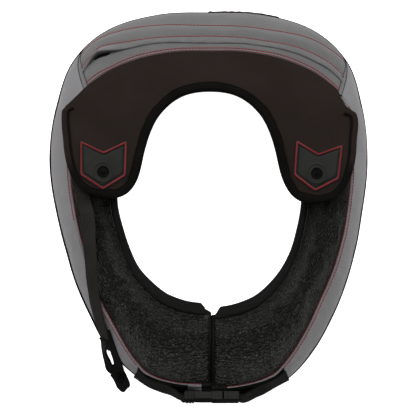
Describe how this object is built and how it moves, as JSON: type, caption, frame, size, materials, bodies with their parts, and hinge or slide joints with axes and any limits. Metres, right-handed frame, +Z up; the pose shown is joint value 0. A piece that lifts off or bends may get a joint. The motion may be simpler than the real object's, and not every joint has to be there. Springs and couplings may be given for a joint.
{
  "type": "protective neck collar",
  "caption": "Padded foam neck collar for off-road riding: grey cloth ring, leather front pads, bound neoprene yoke, buckled front strap and a loose side strap.",
  "frame": {"origin": "on the floor under the middle of the whole collar's box", "axes": "+Z up; the wearer faces -Y, so the throat and its buckle are at -Y and the nape at +Y; +X is the wearer's left"},
  "size_m": [0.2586, 0.3206, 0.0659],
  "materials": {
    "grey_cloth": "finely woven mid-grey nylon, matt",
    "black_cloth": "plain black cloth, matt",
    "leather": "black leather with a pebbled grain, semi-gloss",
    "neoprene": "brown-black knitted face on neoprene, matt",
    "binding": "black folded binding tape",
    "badge_rubber": "dark grey moulded rubber",
    "dark_metal": "black lacquered metal",
    "webbing": "black ribbed webbing",
    "plastic": "black acetal, satin"
  },
  "bodies": {
    "root": {"outer_shell": "grey_cloth", "nape_panel": "grey_cloth", "base_panel": "black_cloth", "neck_lining": "black_cloth", "leather_pad_left": "leather", "leather_pad_right": "leather", "front_facing_left": "black_cloth", "front_facing_right": "black_cloth", "yoke": "neoprene", "yoke_binding": "binding", "badge_left": "badge_rubber", "badge_right": "badge_rubber", "press_stud_left": "dark_metal", "press_stud_right": "dark_metal", "front_strap_left": "webbing", "front_strap_right": "webbing", "buckle_plug": "plastic", "buckle_socket": "plastic", "side_strap": "webbing", "tab_eyelet": "dark_metal"}
  },
  "joints": []
}
